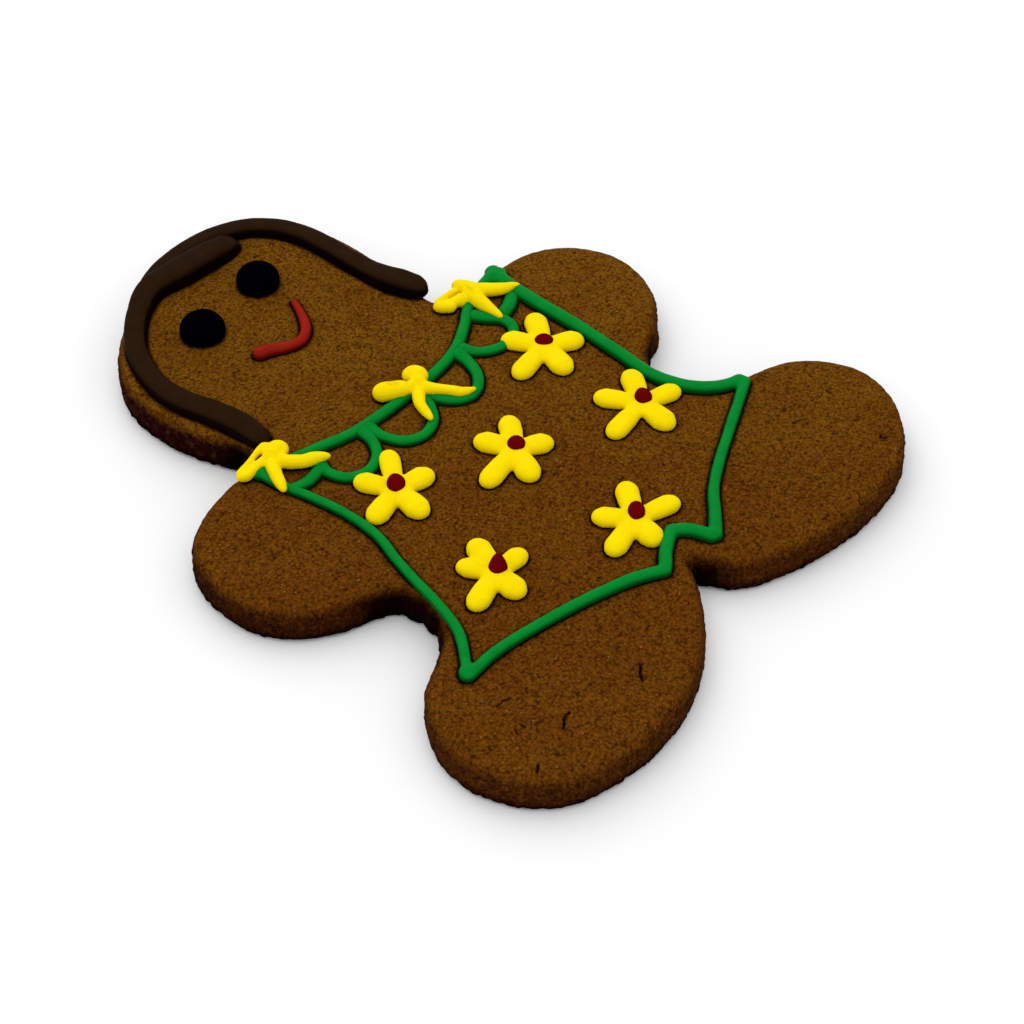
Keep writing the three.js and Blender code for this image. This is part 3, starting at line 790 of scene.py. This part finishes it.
def icing_group():
    """Dried icing: painted shade on its foot and flanks, soft patches of tone, a slightly uneven
    sheen and a faint skin.
    """
    recipe, given, result = group(
        "Dried icing",
        [("Color", "NodeSocketColor", (1, 1, 1, 1)),
         ("Shade", "NodeSocketColor", (0.5, 0.5, 0.5, 1)),
         ("Sheen", "NodeSocketFloat", 0.45), ("Foot", "NodeSocketFloat", 0.8),
         ("Flank", "NodeSocketFloat", 0.0), ("Depth", "NodeSocketFloat", 0.5)],
        [("Color", "NodeSocketColor"), ("Roughness", "NodeSocketFloat"),
         ("Height", "NodeSocketFloat")])
    place = recipe.place()
    # Painted shade: the foot and the steep flanks take the shade colour.
    bottom, top = ((TOP + height) * MM for height in ICING_FOOT)
    foot = recipe.times(recipe.fade(recipe.split(place)["Z"], bottom, top), given.outputs["Foot"])
    flank = recipe.times(given.outputs["Flank"], given.outputs["Depth"])
    patches = recipe.ramp(recipe.noise(place, 2.6), 0.35, 0.75)
    shaded = recipe.math("MAXIMUM", foot, recipe.times(patches, 0.2))
    shaded = recipe.math("MAXIMUM", shaded, flank)
    tint = recipe.mix("MIX", shaded, given.outputs["Color"], given.outputs["Shade"])
    fine = fine_grain(recipe, size=0.22, contrast=1.4)
    tint = recipe.mix("OVERLAY", 0.12, tint, fine.outputs["Value"])
    recipe.feed(result.inputs["Color"], tint)
    streaks = recipe.times(recipe.noise(place, 1.1), 0.16)
    recipe.feed(result.inputs["Roughness"], recipe.plus(given.outputs["Sheen"], streaks))
    ripples = recipe.times(recipe.noise(place, 0.8, 2.0), 0.7)
    pores = recipe.times(fine.outputs["Height"], 0.3)
    recipe.feed(result.inputs["Height"], recipe.plus(ripples, pores))


def new_material(name, specular):
    material = bpy.data.materials.new(name)
    material.use_nodes = True
    shader = material.node_tree.nodes["Principled BSDF"]
    shader.inputs["Specular IOR Level"].default_value = specular
    return material, Recipe(material.node_tree), shader


def bumped(recipe, height, depth):
    """Surface normals from a height of the given depth in millimetres."""
    bump = recipe.node("ShaderNodeBump", {"Height": height, "Strength": 1.0, "Distance": depth * MM})
    return bump.outputs["Normal"]


def icing_material(name, color, shade, sheen, specular, foot=0.8, depth=0.3, skin=0.06):
    material, recipe, shader = new_material(name, specular)
    icing = recipe.node("ShaderNodeGroup", node_tree=bpy.data.node_groups["Dried icing"])
    # The colour of the painted shade on the foot and flanks.
    shaded = (*(a * b for a, b in zip(color, shade)), 1)
    given = {"Color": (*color, 1), "Shade": shaded, "Sheen": sheen, "Foot": foot,
             "Flank": recipe.attribute("flank"), "Depth": depth}
    for socket, value in given.items():
        recipe.feed(icing.inputs[socket], value)
    recipe.feed(shader.inputs["Base Color"], icing.outputs["Color"])
    recipe.feed(shader.inputs["Roughness"], icing.outputs["Roughness"])
    recipe.feed(shader.inputs["Normal"], bumped(recipe, icing.outputs["Height"], skin))


def toasted_and_shaded(recipe, crumb, place):
    """Browns the crumb in patches, and darkens it evenly towards the lower left as painted shade."""
    patches = recipe.ramp(recipe.noise(place, TOAST_PATCH, 4.0, 0.6), 0.42, 0.66, 0.0, 0.45)
    spread = recipe.split(place)
    # Painted shade: the crumb darkens evenly towards the lower left.
    lower_left_shade = recipe.ramp(recipe.plus(spread["X"], spread["Y"]), -60 * MM, 30 * MM, 0.75, 0.0)
    return recipe.tinted(crumb, recipe.plus(patches, lower_left_shade, clamp=True), "toast_and_shade")


def specked(recipe, crumb, place):
    """Scatters pale sugar and dark pits over the crumb."""
    specks = recipe.node("ShaderNodeTexVoronoi", {
        "Vector": place, "Scale": 1 / (SPECK * MM)}, feature="F1").outputs
    chosen = recipe.node("ShaderNodeSeparateColor", {"Color": specks["Color"]}).outputs
    sugar = recipe.times(recipe.fade(specks["Distance"], 0.1, 0.24),
                         recipe.ramp(chosen["Red"], 0.78, 0.86))
    crumb = recipe.mix("MIX", recipe.times(sugar, 0.5), crumb, (*SUGAR, 1))
    pits = recipe.times(recipe.fade(specks["Distance"], 0.08, 0.3),
                        recipe.ramp(chosen["Green"], 0.86, 0.92))
    return recipe.tinted(crumb, recipe.times(pits, 0.6), "pit")


def baked_and_shaded_edge(recipe, crumb, place):
    """Darkens the cut edge, most near the head, with baked colour and painted shade, pocks it and
    darkens its foot, most at the very bottom.
    """
    spread = recipe.split(place)
    wall = recipe.attribute("wall")
    headward = recipe.ramp(spread["Y"], -65 * MM, 50 * MM, 0.5, 1.0)
    ragged = recipe.ramp(recipe.noise(place, RAGGED, 3.0, 0.6), 0.3, 0.7, -0.3, 0.3)
    baked = recipe.plus(wall, recipe.times(wall, ragged), clamp=True)
    # The wall tint is partly baked colour and partly painted shade.
    crumb = recipe.tinted(crumb, recipe.times(baked, headward), "wall")
    pocked = recipe.fade(recipe.noise(place, POCK, 4.0, 0.7), 0.42, 0.58)
    crumb = recipe.tinted(crumb, recipe.times(pocked, recipe.times(wall, 0.6)), "pock")
    foot = recipe.fade(spread["Z"], 0.2 * MM, 3.4 * MM)
    foot = recipe.plus(foot, recipe.times(foot, ragged), clamp=True)
    crumb = recipe.tinted(crumb, foot, "foot")
    bottom_band = recipe.plus(spread["Z"], recipe.times(ragged, 4 * MM))
    return recipe.tinted(crumb, recipe.fade(bottom_band, 0.3 * MM, 1.7 * MM), "bottom_band")


def dough_material(dough):
    """Baked crumb: golden grains in dark brown, darker at the foot, with painted shade in hollows,
    in slits and by icing.
    """
    material, recipe, shader = new_material("baked gingerbread", 0.01)
    place = recipe.place()
    fine = fine_grain(recipe, size=GRAIN, contrast=2.15)
    clumps = recipe.ramp(recipe.noise(place, CLUMP, 3.0, 0.6), 0.28, 0.74)
    grains = recipe.plus(recipe.times(fine.outputs["Value"], 0.78), recipe.times(clumps, 0.22))
    crumb = recipe.mix("MIX", grains, (*dough.dark, 1), (*dough.light, 1))
    for baking in (toasted_and_shaded, specked, baked_and_shaded_edge):
        crumb = baking(recipe, crumb, place)
    # Painted shade in the outline's hollows, beside the icing and in the slits.
    for name in ("hollow", "seam", "crack"):
        crumb = recipe.tinted(crumb, recipe.attribute(name), name)
    recipe.feed(shader.inputs["Base Color"], crumb)
    recipe.feed(shader.inputs["Roughness"], recipe.plus(0.82, recipe.times(grains, 0.14)))
    bumps = recipe.plus(fine.outputs["Height"], recipe.times(clumps, 0.6))
    recipe.feed(shader.inputs["Normal"], bumped(recipe, bumps, 0.22))
    return material


def floor_material(color):
    """A pale floor with faint clouds."""
    material, recipe, shader = new_material("studio floor", 0.0)
    cloud = recipe.ramp(recipe.noise(recipe.place(), 60.0), 0.3, 0.7)
    pale = tuple(channel * 0.985 for channel in color)
    recipe.feed(shader.inputs["Base Color"], recipe.mix("MIX", cloud, (*color, 1), (*pale, 1)))
    recipe.feed(shader.inputs["Roughness"], recipe.plus(0.85, recipe.times(cloud, 0.1)))
    return material


def mix_icing():
    """Mixes the six coloured icings."""
    grain_group()
    icing_group()
    for name, finish in ICINGS.items():
        color = getattr(bpy.context.scene.piped_icing, name)
        icing_material(f"{name} icing", color, **finish)


# ---------------------------------------------------------------- operators


def crack_at(x, y):
    """How open the dough is at a drawn place, from 0 to 1."""
    spot = Vector((x, y))
    deepest = 0.0
    for crack in CRACKS:
        knots = [Vector(knot) for knot in crack["route"]]
        if (spot - knots[0]).length > CRACK_SPAN:
            continue
        for a, b in zip(knots, knots[1:]):
            run = b - a
            share = min(max((spot - a).dot(run) / run.length_squared, 0), 1)
            gap = (spot - a - run * share).length
            jag = noise.noise(Vector((x * CRACK_JAGS, y * CRACK_JAGS, 0)))
            ragged = crack["width"] * (1 + 0.7 * jag)
            deepest = max(deepest, crack["open"] * (1 - eased(gap, ragged * 0.5, ragged * 2)))
    return deepest


class COOKIE_OT_bake(bpy.types.Operator):
    """Bake the cookie: crumb on its top, crags round its cut edge and a few slits"""

    bl_idname = "cookie.bake"
    bl_label = "Bake cookie"

    # Upward shares of the normal that tell the parts of the surface from each other.
    UNDERSIDE = -0.95
    LEVEL_UNDERSIDE = -0.99
    LOWER_EDGE = -0.7
    TOP_FACE = 0.8
    WALL_SLOPES = (0.1, 0.9)
    CRACK_ZONE = 1.7  # millimetres of finer mesh round the middle of a slit
    CRACK_FLOOR = 0.6  # and how far it goes down from the face
    FISSURE = 0.09  # the higher, the wider the fissures of the cut edge

    def execute(self, context):
        dough = context.scene.baked_dough
        bm = bmesh_from(frame["nodes"]["cookie"].data)
        bmesh.ops.remove_doubles(bm, verts=bm.verts[:], dist=0.001 * MM)
        bm = remeshed(bm, dough.crumb, softening=5)
        self.plain_underside(bm)
        self.refine_wall(bm)
        self.refine_cracks(bm)
        bm.normal_update()
        # Shares read by the dough material: the wall takes baked colour and painted shade, a slit
        # painted shade.
        wall = bm.verts.layers.float.new("wall")
        crack = bm.verts.layers.float.new("crack")
        moves = []
        for vertex in bm.verts:
            move, vertex[wall], vertex[crack] = self.relief(vertex, dough)
            moves.append(move)
        for vertex, move in zip(bm.verts, moves):
            vertex.co += move
            vertex.co.z = max(vertex.co.z, 0)
        piece_from(bm, "baked_cookie", ["cookie"], dough_material(dough))
        return {"FINISHED"}

    def plain_underside(self, bm):
        """Flattens the underside and gives it few faces."""
        bm.normal_update()
        under = [vertex for vertex in bm.verts if vertex.normal.z < self.UNDERSIDE]
        for vertex in under:
            vertex.co.z = 0
        inner = [edge for edge in bm.edges
                 if all(vertex.normal.z < self.LEVEL_UNDERSIDE for vertex in edge.verts)]
        bmesh.ops.dissolve_limit(
            bm, angle_limit=math.radians(1), verts=under, edges=inner, delimit=set())

    def refine_wall(self, bm):
        """Makes the mesh finer round the cut edge."""
        steep = [edge for edge in bm.edges
                 if all(abs(vertex.normal.z) < self.TOP_FACE for vertex in edge.verts)]
        bmesh.ops.subdivide_edges(bm, edges=steep, cuts=1, use_grid_fill=True, smooth=1.0)
        bm.normal_update()

    def refine_cracks(self, bm):
        """Makes the mesh finer round the slits."""
        centres = [placed(*crack["route"][len(crack["route"]) // 2]) for crack in CRACKS]
        near = []
        for edge in bm.edges:
            spot = edge.verts[0].co
            if spot.z > (TOP - self.CRACK_FLOOR) * MM:
                if min((spot - centre).length for centre in centres) < self.CRACK_ZONE * MM:
                    near.append(edge)
        bmesh.ops.subdivide_edges(bm, edges=near, cuts=3, use_grid_fill=True)

    def crags_at(self, spot):
        """How far the cut edge stands out at a place in millimetres, in shares of its relief.

        Each noise divides the place by the size of its lumps.
        """
        crags = 0.6 * noise.noise(Vector((spot.x / 2.6, spot.y / 2.6, spot.z / 1.8)))
        crags += 0.8 * noise.noise(spot / 1.2) + 0.8 * noise.noise(spot / 0.7)
        layered = Vector((spot.x / 4, spot.y / 4, spot.z / 1.3))
        fissure = max(0.0, 1 - abs(noise.noise(layered)) / self.FISSURE)
        return crags - 1.6 * fissure * max(0.0, noise.noise(spot / 5) + 0.25)

    def relief(self, vertex, dough):
        """The move of a point of the surface, and how much of wall and of slit it is."""
        spot = vertex.co / MM
        upright = vertex.normal.z
        if upright < self.LOWER_EDGE:
            return Vector(), 1.0, 0.0
        side = 1 - eased(upright, *self.WALL_SLOPES)
        swell = 0.09 * noise.noise(spot / 17) + 0.05 * noise.noise(spot / 6)
        crumb = noise.noise(spot / 2) + noise.noise(spot / 1.1 + Vector((5, 5, 5)))
        crags = self.crags_at(spot)
        out = swell * MM + crumb * dough.top_relief + crags * dough.wall_relief * side
        drawn = (vertex.co - DRAWN_TO_FRAME) / MM
        for bit in EDGE_CRUMBS:
            gap = (drawn.xy - Vector(bit["at"])).length
            out += bit["out"] * MM * side * (1 - eased(gap, 0, 2 * bit["radius"]))
        slit = crack_at(drawn.x, drawn.y) if upright > self.TOP_FACE else 0.0
        move = vertex.normal * out + Vector((0, 0, -slit * CRACK_DEPTH * MM))
        return move, side, slit


class COOKIE_OT_pipe_hair(bpy.types.Operator):
    """Pipe the right lock, then the fringe that sweeps down the left over its start"""

    bl_idname = "cookie.pipe_hair"
    bl_label = "Pipe hair"

    def execute(self, context):
        piped("hair_right_lock", [RIGHT_LOCK], "brown")
        piped("hair_fringe", [FRINGE], "brown")
        return {"FINISHED"}


class COOKIE_OT_pipe_face(bpy.types.Operator):
    """Set the two eyes and pipe the mouth"""

    bl_idname = "cookie.pipe_face"
    bl_label = "Pipe face"

    def execute(self, context):
        for node, eye in EYES.items():
            bm = bmesh.new()
            fat_drop(bm, **eye)
            iced(bm, node, "black")
        piped("mouth", [MOUTH], "red")
        return {"FINISHED"}


class COOKIE_OT_pipe_dress(bpy.types.Operator):
    """Pipe the dress outline and the looped trim below its collar"""

    bl_idname = "cookie.pipe_dress"
    bl_label = "Pipe dress"

    def execute(self, context):
        strokes = [{**stroke, "lift": 0.2} for stroke in DRESS_STROKES]
        piped("dress_outline", strokes, "green", softening=10)
        for number, loop in enumerate(SCALLOPS, 1):
            piped(f"scallop_{number}", [{**loop, "lift": 0.1, "rise": 0.9}], "green")
        return {"FINISHED"}


class COOKIE_OT_pipe_flowers(bpy.types.Operator):
    """Pipe the five-petalled flowers of the dress and drop a dot on each"""

    bl_idname = "cookie.pipe_flowers"
    bl_label = "Pipe flowers"

    def execute(self, context):
        for node, flower in FLOWERS.items():
            strokes = [self.petal(flower["at"], *petal) for petal in flower["petals"]]
            strokes.append(self.hub(flower["at"]))
            piped(node, strokes, "yellow", softening=20)
            bm = bmesh.new()
            dropped_dot(bm, **flower["dot"])
            iced(bm, f"{node}_dot", "maroon")
        return {"FINISHED"}

    def petal(self, hub, direction, reach, half_width):
        turn = math.radians(direction)
        heading = Vector((math.cos(turn), math.sin(turn)))
        start = Vector(hub) - PETAL_ROOT * heading
        end = Vector(hub) + reach * heading
        widths = [share * half_width for share in PETAL_SWELL]
        return {"route": [tuple(start), tuple(end)], "widths": widths, **PETAL_SECTION}

    def hub(self, at):
        x, y = at
        reach = HUB_SPREAD * HUB_HALF_WIDTH
        return {"route": [(x - reach, y), (x + reach, y)], "widths": [HUB_HALF_WIDTH] * 2,
                "rise": HUB_RISE}


class COOKIE_OT_pipe_star_flowers(bpy.types.Operator):
    """Pipe the three loose flowers over the collar"""

    bl_idname = "cookie.pipe_star_flowers"
    bl_label = "Pipe loose flowers"

    def execute(self, context):
        for node, flower in STAR_FLOWERS.items():
            piped(node, flower["strokes"], "yellow", softening=8, dents=flower["dents"])
        return {"FINISHED"}


class COOKIE_OT_settle(bpy.types.Operator):
    """Press the icing into the crumb, and mark the crumb beside it and the walls in the outline's
    hollows for painted shade
    """

    bl_idname = "cookie.settle"
    bl_label = "Settle icing"

    # Millimetres from the icing.
    SEAM_CORE = 0.2
    SEAM_END = 0.65
    FINE_MESH_END = 0.8

    PRESS = 0.12  # millimetres that the crumb gives at the icing
    TOP_DEPTH = 1  # millimetres under the face that still count as top
    LEAST_WALL = 0.02
    RINGS = (4.0, 8.0)  # millimetres round a point where the dough about it is felt
    RING_STEPS = 12
    HOLLOW_SHARES = (0.47, 0.6)  # dough about a point where a hollow begins and where it is full
    ABOVE_ALL = 0.02  # metres, higher than the whole cookie

    def execute(self, context):
        cookie = bpy.data.objects["baked_cookie"]
        bm = bmesh_from(cookie.data)
        icing = self.surface(
            piece.data for piece in bpy.data.objects if piece.name.startswith("icing_"))
        near = [edge for edge in bm.edges
                if self.seam_at(icing, edge.verts[0].co, self.FINE_MESH_END) > 0]
        bmesh.ops.subdivide_edges(bm, edges=near, cuts=1, use_grid_fill=True)
        wall = bm.verts.layers.float["wall"]
        seam = bm.verts.layers.float.new("seam")
        hollow = bm.verts.layers.float.new("hollow")
        outline = self.surface([frame["nodes"]["cookie"].data])
        for vertex in bm.verts:
            # Near the icing the crumb is pressed down and its material paints shade there.
            vertex[seam] = self.seam_at(icing, vertex.co, self.SEAM_END)
            # In the hollows of the outline the wall gets painted shade.
            if vertex[wall] > self.LEAST_WALL:
                vertex[hollow] = vertex[wall] * self.hollow_at(outline, vertex.co)
            vertex.co.z -= self.PRESS * MM * vertex[seam]
        bm.to_mesh(cookie.data)
        bm.free()
        smoothly_shaded(cookie.data)
        return {"FINISHED"}

    def surface(self, meshes):
        """The surface of the given meshes, to search."""
        bm = bmesh.new()
        for mesh in meshes:
            bm.from_mesh(mesh)
        tree = BVHTree.FromBMesh(bm)
        bm.free()
        return tree

    def seam_at(self, icing, spot, end):
        """How close icing is to a point of the top face, from 0 to 1."""
        if spot.z < (TOP - self.TOP_DEPTH) * MM:
            return 0.0
        found = icing.find_nearest(spot, end * MM)
        if found[0] is None:
            return 0.0
        return 1 - eased(found[3] / MM, self.SEAM_CORE, end)

    def hollow_at(self, outline, spot):
        """How far dough surrounds a point of the wall, from 0 on a straight edge to 1."""
        inside = 0
        for ring in self.RINGS:
            for step in range(self.RING_STEPS):
                turn = math.tau * step / self.RING_STEPS
                start = Vector((spot.x, spot.y, self.ABOVE_ALL))
                start += Vector((math.cos(turn), math.sin(turn), 0)) * ring * MM
                inside += outline.ray_cast(start, -UP)[0] is not None
        return eased(inside / (self.RING_STEPS * len(self.RINGS)), *self.HOLLOW_SHARES)


class COOKIE_OT_set_stage(bpy.types.Operator):
    """Lay the pale floor, light it softly from behind and above, and place the camera"""

    bl_idname = "cookie.set_stage"
    bl_label = "Set stage"

    AIM = (-4.26, -13.3)  # drawn place that the camera looks at
    CAMERA = (-212.3, -167.4, 279.9)  # from there to the camera, millimetres
    # Metres behind the aim, to its left and above it.
    BACK_LIGHT = (1.0, 0.45, 0.8)
    TOP_LIGHT = (0.0, 0.25, 1.45)

    def execute(self, context):
        stage = context.scene.cookie_stage
        self.lay_floor(stage)
        aim = placed(*self.AIM, 0)
        self.add_light("back light", self.BACK_LIGHT, aim, size=1.1, power=stage.back_light)
        self.add_light("top light", self.TOP_LIGHT, aim, size=1.7, power=stage.top_light)
        world = bpy.data.worlds.new("soft room")
        world.use_nodes = True
        room = world.node_tree.nodes["Background"]
        room.inputs["Color"].default_value = (1, 1, 1, 1)
        room.inputs["Strength"].default_value = stage.room_light
        context.scene.world = world
        context.scene.view_settings.view_transform = "Standard"
        self.place_camera(aim, stage.lens)
        return {"FINISHED"}

    def lay_floor(self, stage):
        bm = bmesh.new()
        bmesh.ops.create_grid(bm, x_segments=2, y_segments=2, size=3.0)
        floor = linked("floor", mesh_from(bm, "floor"))
        floor.data.materials.append(floor_material(stage.floor))

    def aimed(self, name, data, place, aim):
        """A lamp or camera in its place, turned to the aim."""
        holder = linked(name, data)
        holder.location = place
        holder.rotation_euler = (aim - holder.location).to_track_quat("-Z", "Y").to_euler()
        return holder

    def add_light(self, name, offset, aim, size, power):
        lamp = bpy.data.lights.new(name, "AREA")
        lamp.shape = "DISK"
        lamp.size = size
        lamp.energy = power
        away = Vector(self.CAMERA[:2]).normalized()
        back = Vector((-away.x, -away.y, 0))
        behind, leftward, high = offset
        place = aim + back * behind + UP.cross(back) * leftward + UP * high
        self.aimed(name, lamp, place, aim)

    def place_camera(self, aim, lens):
        view = bpy.data.cameras.new("camera")
        view.lens = lens
        view.sensor_width = 36.0
        view.clip_start = 0.01
        place = aim + Vector(self.CAMERA) * MM
        bpy.context.scene.camera = self.aimed("camera", view, place, aim)


# ---------------------------------------------------------------- add-on

STEPS = [
    COOKIE_OT_bake, COOKIE_OT_pipe_hair, COOKIE_OT_pipe_face, COOKIE_OT_pipe_dress,
    COOKIE_OT_pipe_flowers, COOKIE_OT_pipe_star_flowers, COOKIE_OT_settle, COOKIE_OT_set_stage,
]
GROUPS = {"baked_dough": BakedDough, "piped_icing": PipedIcing, "cookie_stage": CookieStage}


class COOKIE_PT_panel(bpy.types.Panel):
    """Lists the steps and their settings"""

    bl_idname = "COOKIE_PT_panel"
    bl_label = "Gingerbread girl"
    bl_space_type = "VIEW_3D"
    bl_region_type = "UI"
    bl_category = "Cookie"

    def draw(self, context):
        for name, settings in GROUPS.items():
            box = self.layout.box()
            for setting in settings.__annotations__:
                box.prop(getattr(context.scene, name), setting)
        for step in STEPS:
            self.layout.operator(step.bl_idname)


def register():
    for kind in (*GROUPS.values(), *STEPS, COOKIE_PT_panel):
        bpy.utils.register_class(kind)
    for name, settings in GROUPS.items():
        setattr(bpy.types.Scene, name, PointerProperty(type=settings))


def unregister():
    for name in GROUPS:
        delattr(bpy.types.Scene, name)
    for kind in (COOKIE_PT_panel, *reversed(STEPS), *reversed(GROUPS.values())):
        bpy.utils.unregister_class(kind)


def main():
    register()
    mix_icing()
    bpy.ops.cookie.bake()
    bpy.ops.cookie.pipe_hair()
    bpy.ops.cookie.pipe_face()
    bpy.ops.cookie.pipe_dress()
    bpy.ops.cookie.pipe_flowers()
    bpy.ops.cookie.pipe_star_flowers()
    bpy.ops.cookie.settle()
    bpy.ops.cookie.set_stage()


if __name__ == "__main__":
    main()
